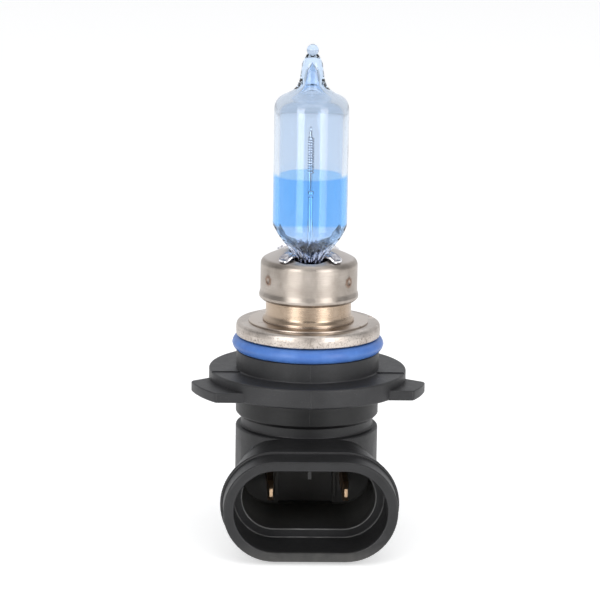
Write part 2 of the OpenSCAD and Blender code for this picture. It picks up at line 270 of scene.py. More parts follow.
# ---------------------------------------------------------------- materials
class Finish:
    """Node material round one Principled shader, measured in millimetres of the object."""

    def __init__(self, name, **sockets):
        self.material = bpy.data.materials.new(name)
        self.material.use_nodes = True
        self.tree = self.material.node_tree
        self.shader = self.tree.nodes["Principled BSDF"]
        self.place = self.add("ShaderNodeTexCoord").outputs["Object"]
        for socket, value in sockets.items():
            self.shader.inputs[socket.replace("_", " ")].default_value = value

    def add(self, kind, **settings):
        made = self.tree.nodes.new(kind)
        for key, value in settings.items():
            setattr(made, key, value)
        return made

    def feed(self, node, socket, value):
        if isinstance(value, bpy.types.NodeSocket):
            self.tree.links.new(value, node.inputs[socket])
        else:
            node.inputs[socket].default_value = value

    def set(self, socket, value):
        self.feed(self.shader, socket, value)

    def noise(self, per_mm, detail=3.0, stretch=(1, 1, 1), roughness=0.55, distortion=0.0):
        """Noise from 0 to 1 with about per_mm features a millimetre along each axis."""
        mapping = self.add("ShaderNodeMapping")
        self.feed(mapping, "Vector", self.place)
        mapping.inputs["Scale"].default_value = [per_mm / MM * s for s in stretch]
        made = self.add("ShaderNodeTexNoise")
        self.feed(made, "Vector", mapping.outputs["Vector"])
        for socket, value in (("Scale", 1.0), ("Detail", detail), ("Roughness", roughness),
                              ("Distortion", distortion)):
            made.inputs[socket].default_value = value
        return made.outputs["Fac"]

    def ramp(self, factor, *stops):
        """Colour or grey ramp: stops of (position, value)."""
        made = self.add("ShaderNodeValToRGB")
        bar = made.color_ramp.elements
        while len(bar) < len(stops):
            bar.new(0.5)
        for element, (position, value) in zip(bar, stops):
            element.position = position
            value = (value,) * 3 if isinstance(value, (int, float)) else value
            element.color = (*value, 1)
        self.feed(made, "Fac", factor)
        return made.outputs["Color"]

    def math(self, operation, a, b=0.0, c=0.0):
        made = self.add("ShaderNodeMath", operation=operation)
        for index, value in enumerate((a, b, c)):
            self.feed(made, index, value)
        return made.outputs[0]

    def mix(self, factor, a, b, blend="MIX"):
        """Mix of two colours, each a socket or (r, g, b)."""
        factor_in, a_in, b_in, colour_out = 0, 6, 7, 2
        made = self.add("ShaderNodeMix", data_type="RGBA", blend_type=blend)
        self.feed(made, factor_in, factor)
        for index, value in ((a_in, a), (b_in, b)):
            self.feed(made, index, value if isinstance(value, bpy.types.NodeSocket) else (*value, 1))
        return made.outputs[colour_out]

    def axis(self, letter):
        """One object coordinate, in millimetres."""
        split = self.add("ShaderNodeSeparateXYZ")
        self.feed(split, "Vector", self.place)
        return self.math("MULTIPLY", split.outputs[letter], 1 / MM)

    def distance(self, point):
        """Distance from a point of the object, in millimetres."""
        made = self.add("ShaderNodeVectorMath", operation="DISTANCE")
        self.feed(made, 0, self.place)
        made.inputs[1].default_value = Vector(point) * MM
        return self.math("MULTIPLY", made.outputs["Value"], 1 / MM)

    def edges(self, low, high):
        """0 on flat ground, 1 on convex edges."""
        return self.ramp(self.add("ShaderNodeNewGeometry").outputs["Pointiness"], (low, 0), (high, 1))

    def bump(self, height, depth_mm, normal=None, strength=1.0):
        """Bump from a 0 to 1 height with a depth in millimetres, over an earlier bump."""
        made = self.add("ShaderNodeBump")
        made.inputs["Strength"].default_value = strength
        made.inputs["Distance"].default_value = depth_mm * MM
        self.feed(made, "Height", height)
        if normal is not None:
            self.feed(made, "Normal", normal)
        return made.outputs["Normal"]


def plastic(name, colour, roughness, grain):
    """Matte moulded plastic with a fine glass-filled grain, faint flow marks and lighter convex edges, partly
    rubbed wear and partly a painted highlight.
    """
    f = Finish(name, Specular_IOR_Level=0.42)
    mottle = f.noise(0.35, 4)
    speck = f.noise(7, 2)
    base = f.mix(f.ramp(mottle, (0.3, 0), (0.75, 1)), [c * 0.82 for c in colour], [c * 1.25 for c in colour])
    base = f.mix(f.ramp(speck, (0.64, 0), (0.74, 0.5)), base, [c * 4 for c in colour])
    # convex edges lightened: partly rubbed wear, partly a painted highlight along the edges
    worn = f.math("MULTIPLY", f.edges(0.53, 0.60), f.ramp(f.noise(1.3, 4), (0.35, 0.2), (0.7, 0.9)))
    base = f.mix(f.math("MULTIPLY", worn, 0.5), base, [c * 2.6 for c in colour])
    f.set("Base Color", base)
    f.set("Roughness", f.math("MULTIPLY_ADD", f.noise(1.1, 4), 0.16, roughness - 0.08))
    fine = f.bump(f.noise(9, 3, roughness=0.7), 0.012 * grain)
    flow = f.bump(f.noise(0.9, 4, stretch=(0.3, 0.3, 2.2)), 0.02 * grain, fine)
    f.set("Normal", flow)
    return f


def metal(name, colour, dark, roughness, turned, grain=0.0):
    """Satin metal: fine turned lines round the axis, cloudy tint, small scratches and bright edges.

    Gives the finish and its base colour, which a piece may mix further.
    """
    f = Finish(name, Metallic=1.0)
    cloud = f.noise(0.28, 4, distortion=0.6)
    lines = f.noise(2.0, 3, stretch=(0.12, 0.12, 9))
    base = f.mix(f.ramp(cloud, (0.32, 0), (0.72, 1)), dark, colour)
    base = f.mix(f.math("MULTIPLY", f.ramp(lines, (0.35, 1), (0.6, 0)), 0.22 * turned), base, dark)
    worn = f.math("MULTIPLY", f.edges(0.52, 0.62), 0.5)
    base = f.mix(worn, base, [min(1, c * 1.25) for c in colour])
    f.set("Base Color", base)
    rough = f.math("MULTIPLY_ADD", cloud, 0.12, roughness - 0.06)
    f.set("Roughness", f.math("MULTIPLY_ADD", lines, 0.08 * turned, rough))
    normal = f.bump(lines, 0.009 * turned)
    scratch = f.noise(0.5, 2, stretch=(1, 1, 14), distortion=1.2)
    normal = f.bump(f.ramp(scratch, (0.70, 0), (0.74, 1)), 0.004, normal)
    if grain:
        normal = f.bump(f.noise(6, 3, roughness=0.65), 0.012 * grain, normal)
    f.set("Normal", normal)
    return f, base


def glass(name, coated):
    """Hard glass, pale blue; the coated kind carries the strong blue band with soft, slightly uneven edges."""
    f = Finish(name, Transmission_Weight=1.0, IOR=1.5)
    clear = f.mix(f.noise(0.12, 2), GLASS_PALE, [c * 0.985 for c in GLASS_PALE])
    if coated:
        wave = f.math("MULTIPLY", f.noise(0.5, 2, stretch=(1, 1, 0.2)), 0.16)
        height = f.math("ADD", wave, f.axis("Z"))
        tilted = f.math("MULTIPLY_ADD", f.axis("Y"), 0.2, height)

        def above(value, limit, edge):
            """0 up to the limit, then rising to 1 over the edge."""
            rise = f.math("DIVIDE", f.math("SUBTRACT", value, limit), edge)
            return f.math("MINIMUM", f.math("MAXIMUM", rise, 0), 1)

        top = f.math("SUBTRACT", 1.0, above(height, BAND_HIGH, BAND_EDGE))
        streak = f.ramp(f.noise(0.7, 3, stretch=(1, 1, 0.12)), (0.3, 0.88), (0.7, 1.0))
        strong = f.math("MULTIPLY", f.math("MULTIPLY", top, above(tilted, BAND_LOW, BAND_EDGE)), streak)
        faint = f.math("MULTIPLY", f.math("MULTIPLY", top, above(height, FADE_LOW, FADE_EDGE)), 0.58)
        clear = f.mix(f.math("MAXIMUM", strong, faint), clear, GLASS_BAND)
    foot = f.ramp(f.math("DIVIDE", f.axis("Z"), 30.0), (0.57, 1), (0.64, 0))
    clear = f.mix(foot, clear, GLASS_FOOT)
    neck = f.ramp(f.math("DIVIDE", f.axis("Z"), 50.0), (0.79, 0), (0.83, 1))
    clear = f.mix(neck, clear, GLASS_NECK)
    f.set("Base Color", clear)
    f.set("Roughness", f.math("MULTIPLY", f.ramp(f.noise(0.3, 3), (0.5, 0), (0.8, 1)), 0.02))
    f.set("Normal", f.bump(f.noise(0.22, 2, stretch=(1, 1, 0.5)), 0.03))
    return f.material


# ---------------------------------------------------------------- sizes taken from the frame
glass_low, glass_top = extent("glass_capsule")
GLASS_R = glass_top.x
ring_low, ring_top = extent("pilot_ring")
sleeve_low, sleeve_top = extent("focus_sleeve")
seal_low, seal_top = extent("o_ring")
flange_top = extent("flange_base")[1]
socket_low = extent("socket_body")[0]
coil_top = extent("filament_coil")[1]

GLASS_PALE = (0.735, 0.82, 0.93)
GLASS_BAND = (0.16, 0.50, 1.0)
GLASS_FOOT = (0.62, 0.66, 0.93)
GLASS_NECK = (0.64, 0.78, 0.97)
BAND_LOW, BAND_HIGH, BAND_EDGE = 21.4, 28.85, 0.2
FADE_LOW, FADE_EDGE = 18.3, 2.2


# ---------------------------------------------------------------- glass capsule
def glass_ring(radius, half_x, z, crease=0.0, creases=5):
    """Ring round the capsule: front and back arcs, which may be creased, and the sides the jaws pressed."""
    arc_steps, side_steps = 80, 20
    arc = min(math.asin(min(1.0, half_x / radius)), math.radians(80))
    half = []
    for k in range(arc_steps):
        a, across = lerp(-arc, arc, k / arc_steps), k / arc_steps
        r = radius - crease * (0.5 - 0.5 * math.cos(TAU * creases * across))
        half.append((r * math.sin(a), -r * math.cos(a)))
    for k in range(side_steps):
        a = lerp(arc, math.pi - arc, k / side_steps)
        flat = (radius * math.sin(arc), radius * lerp(-1, 1, k / side_steps) * math.cos(arc))
        round_off = smooth((half_x / radius - 0.9) / 0.085)
        half.append((lerp(flat[0], radius * math.sin(a), round_off),
                     lerp(flat[1], -radius * math.cos(a), round_off)))
    return [(x, y, z) for x, y in half + [(-x, -y) for x, y in half]]


PINCH_TOP, TUBE_LOW, PINCH_HALF, PINCH_R = 16.6, 22.6, 1.62, 4.42
BORE_R, WEDGE_LOW, WEDGE_HIGH = GLASS_R - 0.8, 17.6, 21.2

outer = [glass_ring(PINCH_R - 0.1, PINCH_HALF - 0.15, glass_low.z, 0.1),
         glass_ring(PINCH_R, PINCH_HALF, glass_low.z + 0.15, 0.1)]
for k in range(41):
    t = k / 40
    outer.append(glass_ring(lerp(PINCH_R, GLASS_R, smooth(min(1, t * 1.2))), lerp(PINCH_HALF, GLASS_R, smooth(t)),
                            lerp(PINCH_TOP, TUBE_LOW, t), 0.26 * smooth(1.2 - 1.8 * t), 6))
dome = soften(fillet([(GLASS_R, TUBE_LOW + 0.1, 0), (GLASS_R, 39.45, 1.9), (1.9, 40.95, 2.6), (1.4, 44.6, 1.0),
                      (0.8, 45.72, 0)], 8, closed=False), rounds=10)
NUB_R = 0.84
nub = [(NUB_R * math.cos(math.radians(a)), glass_top.z - NUB_R + NUB_R * math.sin(math.radians(a)))
       for a in range(-38, 89, 7)]
outer += [glass_ring(r, r, z) for r, z in dome + nub + [(0.02, glass_top.z)]]

inner = []
for k in range(31):
    t = k / 30
    inner.append(glass_ring(lerp(3.3, BORE_R, smooth(t * 1.1)), lerp(0.12, BORE_R, 1.15 * t - 0.15 * t * t),
                            lerp(WEDGE_LOW, WEDGE_HIGH, t), 0.16 * smooth(1 - 1.4 * t) * smooth(4 * t), 7))
hollow = soften(fillet([(BORE_R, WEDGE_HIGH + 0.1, 0), (BORE_R, 38.75, 1.5), (1.2, 40.15, 2.2), (0.62, 43.6, 0.8),
                        (0.02, 44.4, 0)], 8, closed=False), rounds=24)
inner += [glass_ring(r, r, z) for r, z in hollow]

shell = joined([loft(outer)])
core = joined([loft(inner)])
core.data.flip_normals()
work = bmesh.new()
work.from_mesh(shell.data)
work.from_mesh(core.data)
work.to_mesh(shell.data)
work.free()
bpy.data.objects.remove(core)
envelope = finish_piece(shell, "glass_envelope",
                        [glass("glass_coated", True), glass("glass_clear", False)], ["glass_capsule"], 24)
COATED, CLEAR = 0, 1
for face in envelope.data.polygons:
    centre = face.center / MM
    on_outside = math.hypot(centre.x, centre.y) > GLASS_R - 0.3
    face.material_index = COATED if on_outside and centre.z > TUBE_LOW - 3.6 else CLEAR

# ---------------------------------------------------------------- filament and leads
WIRE_R, COIL_TURNS, COIL_STEPS = 0.075, 14, 400
coil_r = coil_top.x - WIRE_R
COIL_LOW, COIL_HIGH = 29.13, 34.19
long_low, long_top = extent("long_lead_wire")
short_low, short_top = extent("short_lead_wire")
lead_y = long_top.y - 0.37
helix = []
for k in range(COIL_STEPS + 1):
    a = TAU * COIL_TURNS * k / COIL_STEPS
    helix.append((coil_r * math.sin(a), -coil_r * math.cos(a), lerp(COIL_LOW, COIL_HIGH, k / COIL_STEPS)))
low_leg = [(0, -lead_y * 0.85, short_top.z - 0.5), (0, -lead_y * 0.8, short_top.z + 0.2),
           (0, -lead_y * 0.45, lerp(short_top.z, COIL_LOW, 0.55)), (0, -coil_r - 0.1, COIL_LOW - 0.25)]
high_leg = [(0, -coil_r - 0.05, COIL_HIGH + 0.15), (0, 0, COIL_HIGH + 0.35), (0, lead_y * 0.6, COIL_HIGH + 0.5),
            (0, lead_y * 0.85, long_top.z - 0.45)]
tungsten, _ = metal("tungsten_wire", (0.62, 0.62, 0.66), (0.40, 0.40, 0.43), 0.3, 0.4)
coil = build(tube(low_leg + helix + high_leg, WIRE_R, 8))
finish_piece(coil, "tungsten_coil", [tungsten.material], ["filament_coil"], 60)

lead_finish, _ = metal("lead_wire_bright", (0.97, 0.97, 0.98), (0.80, 0.81, 0.84), 0.13, 0.3)
for name, node, low, top, side in (("long_support_wire", "long_lead_wire", long_low, long_top, 1),
                                   ("short_support_wire", "short_lead_wire", short_low, short_top, -1)):
    r = (top.x - low.x) / 2
    if side > 0:
        corners = [(0, low.z, 0), (r, low.z, 0.05), (r, top.z - 1.9, 0.4), (r * 0.72, top.z - 1.3, 0.3),
                   (r * 0.5, top.z - 0.25, 0.12), (0.08, top.z, 0.06), (0, top.z, 0)]
    else:
        corners = [(0, low.z, 0), (r, low.z, 0.05), (r, top.z - 0.95, 0.2), (r * 0.8, top.z - 0.8, 0.1),
                   (r * 1.2, top.z - 0.5, 0.15), (r * 1.1, top.z - 0.1, 0.15), (r * 0.6, top.z, 0.1),
                   (0, top.z, 0)]
    verts, faces = lathe(fillet(corners, 4, closed=False), 32, closed=False)
    wire = build(([(x, y + side * lead_y, z) for x, y, z in verts], faces))
    finish_piece(wire, name, [lead_finish.material], [node], 50)

# ---------------------------------------------------------------- cup, sleeve, ring
CUP_R, LIP_Z, SLEEVE_R, CUP_WALL = 6.8, 11.9, 6.0, 0.35
SHOULDER_Z, SHOULDER_END_R, SLOPE = 16.25, 6.27, math.radians(28)
DOME_R = SHOULDER_END_R / math.sin(SLOPE)
DOME_Z = SHOULDER_Z + math.cos(SLOPE) * (1 - DOME_R)
SLOT_HALF_W, SLOT_HALF_L = 2.8, 5.9
WELDS = [(math.atan2(-3.5, -5.8), 14.45), (math.atan2(-4.1, 5.4), 14.4),
         (math.atan2(3.5, 5.8), 14.45), (math.atan2(4.1, -5.4), 14.4)]
WELD_R, WELD_RISE, WELD_SINK = 0.42, 0.06, 0.10
CUP_STEPS = 480


def dome_height(r, depth=0.0):
    """Height of the cup's domed top at a radius, or of the surface a depth below it."""
    return DOME_Z + math.sqrt((DOME_R - depth) ** 2 - r * r)


def slot_reach(angle, grow):
    """Distance from the axis to the edge of the cup's slot, grown by a margin."""
    c, s = abs(math.cos(angle)), abs(math.sin(angle))
    half, run = SLOT_HALF_W + grow, SLOT_HALF_L - SLOT_HALF_W
    if s * half <= run * c:
        return half / c
    return run * s + math.sqrt(max(0.0, half * half - (run * c) ** 2))


def cup_ring(r, z):
    """Level ring of the cup."""
    return [(r * math.cos(TAU * k / CUP_STEPS), r * math.sin(TAU * k / CUP_STEPS), z) for k in range(CUP_STEPS)]


def top_ring(t, grow, depth, start=SHOULDER_END_R):
    """Ring on the cup's top, t of the way from its shoulder to the slot."""
    ring = []
    for k in range(CUP_STEPS):
        angle = TAU * k / CUP_STEPS
        r = lerp(start, slot_reach(angle, grow), t)
        ring.append((r * math.cos(angle), r * math.sin(angle), dome_height(r) - depth))
    return ring


cup_side = fillet([(SLEEVE_R + 0.02, 11.2, 0.06), (SLEEVE_R + 0.5, 11.24, 0.3), (CUP_R + 0.14, LIP_Z - 0.3, 0.3),
                   (CUP_R + 0.17, LIP_Z + 0.1, 0.4), (CUP_R, LIP_Z + 0.7, 1.2), (CUP_R, 13.0, 0),
                   *[(CUP_R, 13.0 + 0.1 * k, 0) for k in range(1, 22)], (CUP_R, SHOULDER_Z, 0)], 7, closed=False)
shoulder_turn = [math.radians(62) * k / 12 for k in range(1, 13)]
cup_side += [(CUP_R - 1 + math.cos(a), SHOULDER_Z + math.sin(a)) for a in shoulder_turn]
cup_rings = [cup_ring(r, z) for r, z in cup_side]
cup_rings += [top_ring(t / 6, 0.1, 0.0) for t in range(1, 7)]
cup_rings += [top_ring(1, 0.1 * (1 - math.sin(a)), 0.1 * (1 - math.cos(a))) for a in (0.4, 0.8, 1.2, math.pi / 2)]
cup_rings += [top_ring(1, 0.02, CUP_WALL), *[top_ring(t / 6, 0.1, CUP_WALL, SHOULDER_END_R - 0.15)
                                            for t in range(5, -1, -1)]]
cup_inside = [(CUP_R - 1 + (1 - CUP_WALL) * math.cos(a), SHOULDER_Z + (1 - CUP_WALL) * math.sin(a))
              for a in shoulder_turn[-3::-2]]
cup_rings += [cup_ring(r, z) for r, z in cup_inside + [(CUP_R - CUP_WALL, 15.0), (CUP_R - CUP_WALL, LIP_Z + 0.3),
                                                       (SLEEVE_R + 0.1, 11.5)]]
verts, faces = loft(cup_rings, closed=True)


def weld_relief(x, y, z):
    """Raised ring with a sunk centre at each spot weld on the cup's side, in millimetres."""
    r = math.hypot(x, y)
    if abs(r - CUP_R) > 0.03 or not 13.4 < z < 15.4:
        return x, y, z
    lift = 0.0
    for angle, weld_z in WELDS:
        across = (math.atan2(y, x) - angle + math.pi) % TAU - math.pi
        away = math.hypot(across * CUP_R, (z - weld_z) * 0.8)
        lift += WELD_RISE * math.exp(-((away - WELD_R) / 0.13) ** 2) - WELD_SINK * math.exp(-(away / 0.28) ** 2)
    return x * (1 + lift / r), y * (1 + lift / r), z


cup_metal, cup_base = metal("cup_turned_nickel", (0.57, 0.515, 0.465), (0.36, 0.315, 0.275), 0.27, 2.2)
tint = None
for angle, weld_z in WELDS:
    away = cup_metal.distance((CUP_R * math.cos(angle), CUP_R * math.sin(angle), weld_z))
    away = cup_metal.math("MULTIPLY_ADD", cup_metal.noise(2.6, 3), 0.5, cup_metal.math("SUBTRACT", away, 0.25))
    away = cup_metal.math("DIVIDE", away, 2.0)
    spot = cup_metal.ramp(away, (0.12, 0.25), (0.24, 0.85), (0.34, 0.55), (0.46, 0))
    tint = spot if tint is None else cup_metal.mix(1.0, tint, spot, "LIGHTEN")
# painted highlight: the cup's top face is lighter than its sides
painted_top_highlight = cup_metal.ramp(cup_metal.math("SUBTRACT", cup_metal.axis("Z"), SHOULDER_Z), (0.75, 0), (0.95, 0.6))
cup_base = cup_metal.mix(painted_top_highlight, cup_base, (0.74, 0.69, 0.66))
cup_metal.set("Base Color", cup_metal.mix(tint, cup_base, (0.20, 0.105, 0.06)))
cup = build(([weld_relief(*v) for v in verts], faces))
finish_piece(cup, "cup_shell", [cup_metal.material], ["capsule_cup"], 40)

FOOT_Z, FOOT_TOP, FOOT_R, SLEEVE_BORE = sleeve_low.z, sleeve_low.z + 0.22, 8.4, 5.6
sleeve_outline = fillet([(SLEEVE_BORE, FOOT_Z, 0.05), (FOOT_R, FOOT_Z, 0.04), (FOOT_R, FOOT_TOP, 0.08),
                         (SLEEVE_R + 0.25, FOOT_TOP, 0.04), (SLEEVE_R + 0.25, FOOT_TOP + 0.12, 0.03),
                         (SLEEVE_R + 0.45, FOOT_TOP + 0.16, 0.05), (SLEEVE_R + 0.42, FOOT_TOP + 0.34, 0.08),
                         (SLEEVE_R, FOOT_TOP + 0.75, 0.8), (SLEEVE_R, sleeve_top.z, 0.05),
                         (SLEEVE_BORE, sleeve_top.z, 0.05)], 6)
sleeve_metal, sleeve_base = metal("sleeve_drawn_nickel", (0.60, 0.475, 0.365), (0.42, 0.32, 0.235), 0.23, 1.4)
foot = sleeve_metal.math("SUBTRACT", sleeve_metal.axis("Z"), FOOT_Z)
foot = sleeve_metal.ramp(foot, (0.24, 0.75), (0.5, 0))
sleeve_metal.set("Base Color", sleeve_metal.mix(foot, sleeve_base, (0.62, 0.555, 0.50)))
sleeve = build(lathe(sleeve_outline, 256))
for x, y, turn in ((-6.75, -2.4, 8), (6.95, -4.35, -28)):
    slot_cut = build(prism([(-0.4, -0.07), (0.4, -0.07), (0.4, 0.07), (-0.4, 0.07)],
                           FOOT_TOP - 0.16, FOOT_TOP + 0.2))
    slot_cut.data.transform(Matrix.Translation((x, y, 0)) @ Matrix.Rotation(math.radians(turn), 4, "Z"))
    combine(sleeve, slot_cut, "DIFFERENCE")
finish_piece(sleeve, "sleeve_shell", [sleeve_metal.material], ["focus_sleeve"], 40, True)

RING_R, RING_TOP, RING_LOW, WALL = ring_top.x, ring_top.z, ring_low.z, 0.5
ring_outline = fillet([(RING_R - WALL, RING_LOW, 0.1), (RING_R - 0.05, RING_LOW, 0.3),
                       (RING_R, RING_TOP - 0.9, 0.6), (RING_R - 0.12, RING_TOP, 0.85),
                       (RING_R - 2.0, RING_TOP - 0.02, 0.8), (SLEEVE_BORE, RING_TOP - 0.02, 0.05),
                       (SLEEVE_BORE, RING_TOP - WALL, 0.05), (RING_R - WALL, RING_TOP - WALL, 0.3)], 8)
pilot = build(lathe(ring_outline, 320))
notch = build(prism([(9.15, -0.33), (11.2, -0.33), (11.2, 0.33), (9.15, 0.33)], RING_TOP - 0.75, RING_TOP + 1))
notch.data.transform(Matrix.Rotation(math.radians(18), 4, "Z"))
combine(pilot, notch, "DIFFERENCE")
ring_metal, ring_base = metal("ring_tumbled_nickel", (0.76, 0.695, 0.635), (0.46, 0.405, 0.36), 0.34, 0.35, 2.4)
grit = ring_metal.ramp(ring_metal.noise(3.4, 4, roughness=0.8), (0.38, 0.8), (0.48, 0))
low_edge = ring_metal.math("SUBTRACT", RING_TOP, ring_metal.axis("Z"))
low_edge = ring_metal.ramp(ring_metal.math("DIVIDE", low_edge, 2.0), (0.1, 0.3), (0.55, 1))
grit = ring_metal.mix(1.0, grit, low_edge, "MULTIPLY")
ring_metal.set("Base Color", ring_metal.mix(grit, ring_base, (0.15, 0.115, 0.09)))
finish_piece(pilot, "pilot_shell", [ring_metal.material], ["pilot_ring"], 40, True)

# ---------------------------------------------------------------- pinch clip with four petals
SHEET, BAND_R, CLIP_HALF_L = 0.25, CUP_R - 0.37, 4.46
PETAL_TURN, PETAL_Y, PETAL_COLUMNS = math.radians(28), 3.4, 17
PETAL_ROOT_HALF, PETAL_HALF, PETAL_ROUND_U = 0.8, 1.12, 1.6


def petal(sx, sy):
    """Bent tab: climbs out of the cup's slot, arches over its edge and slopes down the cup's top."""
    path = fillet([(-0.1, 15.6, 0), (0.25, 17.4, 0.4), (0.62, 18.26, 0.28), (1.45, 18.0, 0.6), (2.25, 17.52, 0.5),
                   (2.75, 17.42, 0)], 7, closed=False)
    points = []
    for u, z in path:
        past = (u - PETAL_ROUND_U) / 1.2
        half = lerp(PETAL_ROOT_HALF, PETAL_HALF, smooth(u / PETAL_ROUND_U)) * math.sqrt(
            max(0.03, 1 - max(0.0, past) ** 2))
        for k in range(PETAL_COLUMNS):
            v = lerp(-half, half, k / (PETAL_COLUMNS - 1))
            arch = 0.26 * math.exp(-((u - PETAL_ROUND_U) / 0.32) ** 2) * smooth(v)
            droop = (0.3 if v > 0 else -0.06) * smooth(u) * (v / PETAL_HALF) ** 2
            points.append((u, v, z - droop + arch))
    made_verts, made_faces = [], []
    for lift in (SHEET, 0.0):
        for u, v, z in points:
            x = PINCH_HALF + 0.2 + u * math.cos(PETAL_TURN) - v * math.sin(PETAL_TURN)
            y = PETAL_Y + u * math.sin(PETAL_TURN) + v * math.cos(PETAL_TURN)
            made_verts.append((sx * x, sy * y, z + lift))
    n, m = len(path), PETAL_COLUMNS
    for i in range(n - 1):
        for k in range(m - 1):
            a = i * m + k
            made_faces += [[a, a + 1, a + m + 1, a + m], [n * m + i for i in (a + m, a + m + 1, a + 1, a)]]
    rim = ([k for k in range(m)] + [i * m + m - 1 for i in range(1, n)] +
           [(n - 1) * m + k for k in range(m - 2, -1, -1)] + [i * m for i in range(n - 2, 0, -1)])
    for a, b in zip(rim, rim[1:] + rim[:1]):
        made_faces.append([b, a, a + n * m, b + n * m])
    return made_verts, made_faces


def rectangle(half_x, half_y, radius):
    """Outline of a rectangle round the origin, its corners rounded."""
    return fillet([(-half_x, -half_y, radius), (half_x, -half_y, radius), (half_x, half_y, radius),
                   (-half_x, half_y, radius)], 4)


clip_low = extent("pinch_clip")[0]
clip = build(prism(rectangle(PINCH_HALF + SHEET, CLIP_HALF_L + SHEET, 0.4), clip_low.z, 16.3))
plate = fillet([(0, 15.3, 0), (BAND_R, 15.3, 0.1), (BAND_R, 15.55, 0.15), (0, 15.55, 0)], 3, False)
combine(clip, build(lathe(plate, 128, False)), "UNION")
combine(clip, build(lathe([(BAND_R - SHEET, 12.8), (BAND_R, 12.8), (BAND_R, 15.4), (BAND_R - SHEET, 15.4)], 128)),
        "UNION")
petals = joined([petal(sx, sy) for sx in (-1, 1) for sy in (-1, 1)])
combine(clip, petals, "UNION")
combine(clip, build(prism(rectangle(PINCH_HALF + 0.03, CLIP_HALF_L, 0.22), clip_low.z - 1, 17.2)), "DIFFERENCE")
clip_metal, clip_base = metal("clip_bright_steel", (0.86, 0.85, 0.88), (0.52, 0.51, 0.56), 0.16, 0.2)
stain = clip_metal.ramp(clip_metal.noise(0.9, 3, distortion=0.8), (0.48, 0), (0.62, 0.6))
clip_metal.set("Base Color", clip_metal.mix(stain, clip_base, (0.24, 0.23, 0.28)))
clip_metal.set("Normal", clip_metal.bump(clip_metal.noise(0.8, 2), 0.2))
finish_piece(clip, "clip_sheet", [clip_metal.material], ["pinch_clip"], 40, True)

# ---------------------------------------------------------------- seal
rubber = Finish("seal_blue_silicone", Specular_IOR_Level=0.38)
tone = rubber.noise(0.5, 4)
silicone = rubber.mix(rubber.ramp(tone, (0.3, 0), (0.7, 1)), (0.058, 0.15, 0.46), (0.085, 0.21, 0.56))
dust = rubber.ramp(rubber.noise(4.5, 3), (0.68, 0), (0.76, 0.35))
rubber.set("Base Color", rubber.mix(dust, silicone, (0.30, 0.42, 0.75)))
rubber.set("Roughness", rubber.math("MULTIPLY_ADD", rubber.noise(1.5, 3), 0.18, 0.28))
rubber.set("Normal", rubber.bump(rubber.noise(5, 3), 0.008))
seal_t = seal_top.z - seal_low.z
seal_mid, seal_r = (seal_top.z + seal_low.z) / 2, seal_top.x - seal_t / 2
section = []
SEAL_STEPS = 36
for k in range(SEAL_STEPS):
    a = TAU * k / SEAL_STEPS
    flash = 0.035 * math.exp(-(math.sin(a) / 0.09) ** 2)
    section.append((seal_r + (seal_t / 2 - 0.02 + flash) * math.cos(a), seal_mid + seal_t / 2 * math.sin(a)))
finish_piece(build(lathe(section, 256)), "seal_ring", [rubber.material], ["o_ring"], 70)

# ---------------------------------------------------------------- flange
DISC_R, COLLAR_R, SPIGOT_R, SEAT_R, WELL_R = 13.87, 10.04, 9.3, 8.63, 7.6
DISC_TOP, DISC_LOW, STEP, STEP_Y = 1.45, -1.43, 0.15, -3.2
COLLAR_TOP, SKIRT_LOW, SPIGOT_TOP = 4.02, -5.3, -2.5
flange = build(lathe(fillet([
    (WELL_R, SPIGOT_TOP, 0), (SPIGOT_R, SPIGOT_TOP, 0), (SPIGOT_R, SKIRT_LOW, 0.1),
    (COLLAR_R - 0.42, SKIRT_LOW, 0.12), (COLLAR_R, -4.85, 0.2), (COLLAR_R, DISC_LOW, 0.2),
    (DISC_R, DISC_LOW, 0.3), (DISC_R, DISC_TOP - STEP, 0.28), (COLLAR_R, DISC_TOP - STEP, 0.22),
    (COLLAR_R, COLLAR_TOP, 0.15), (SEAT_R, COLLAR_TOP, 0.1), (SEAT_R, RING_TOP - WALL, 0.1),
    (WELL_R, RING_TOP - WALL, 0)], 5), 256))
raised = build(lathe(fillet([(COLLAR_R - 0.3, 0, 0), (DISC_R, 0, 0), (DISC_R, DISC_TOP, 0.28),
                             (COLLAR_R - 0.3, DISC_TOP, 0)], 5), 256))
combine(raised, build(prism([(-20, STEP_Y), (20, STEP_Y), (20, 20), (-20, 20)], -1, 3)), "INTERSECT")
combine(flange, raised, "UNION")


LUG_R = flange_top.y
LEFT_FRONT_Y, RIGHT_FRONT_Y, BACK_LUG_X = -10.45, -8.3, (-3.9, 3.5)


def lug(corners):
    """Bayonet lug from plan corners (x, y, radius), a hair above the disc's lower face."""
    return build(prism(fillet(corners, 6), DISC_LOW + 0.015, 0.0, 0.18))


def on_circle(degrees):
    """Plan point on the lugs' outer circle."""
    return LUG_R * math.cos(math.radians(degrees)), LUG_R * math.sin(math.radians(degrees))


def rim_corners(low_deg, high_deg, steps=7):
    """Plan points on the lugs' outer circle, between two angles."""
    return [(*on_circle(lerp(low_deg, high_deg, k / steps)), 0) for k in range(steps + 1)]


